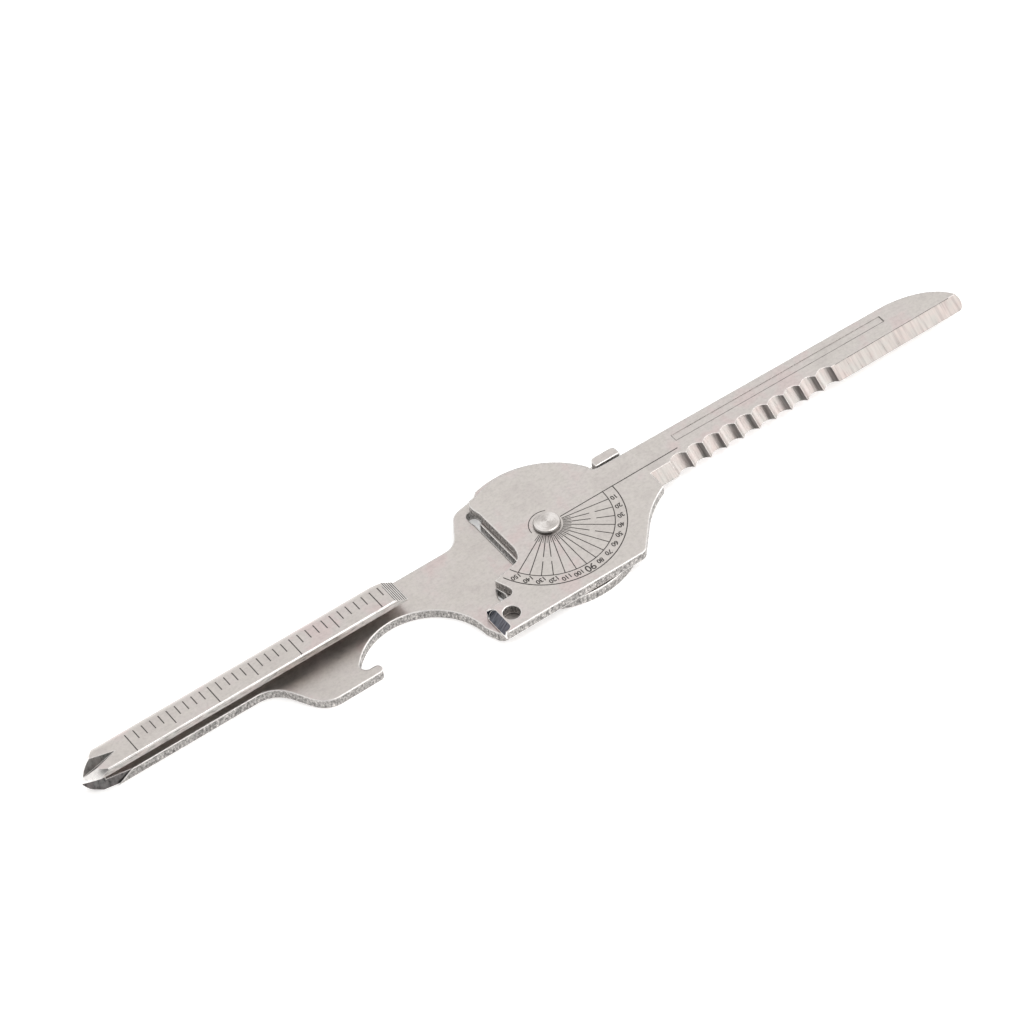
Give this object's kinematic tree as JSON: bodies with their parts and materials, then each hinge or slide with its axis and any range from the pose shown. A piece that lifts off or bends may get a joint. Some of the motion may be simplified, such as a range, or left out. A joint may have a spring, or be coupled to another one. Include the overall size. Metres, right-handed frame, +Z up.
{
  "type": "folding key-ring multi tool",
  "caption": "Flat folding steel multi tool, open, with knife blade, protractor, ruler sheath, cross tip and bottle opener.",
  "frame": {"origin": "on the rivet's axis, on the underside of the arm where the tool rests", "axes": "+X along the open blade to its tip, +Z up through the rivet head, +Y to the folded side of the sheath"},
  "size_m": [0.1103, 0.0198, 0.0037],
  "materials": {
    "arm_steel": "satin",
    "blade_steel": "satin",
    "rivet_steel": "turned",
    "washer_steel": "plain"
  },
  "bodies": {
    "arm": {"arm_plate": "arm_steel", "pivot_rivet": "rivet_steel", "pivot_washer": "washer_steel"},
    "blade": {"blade_plate": "blade_steel"}
  },
  "joints": [
    {"name": "blade_fold", "type": "hinge", "parent": "arm", "child": "blade", "pos_m": [0, 0, 0], "axis": [0, 0, 1], "range_deg": [-180, 0]}
  ]
}
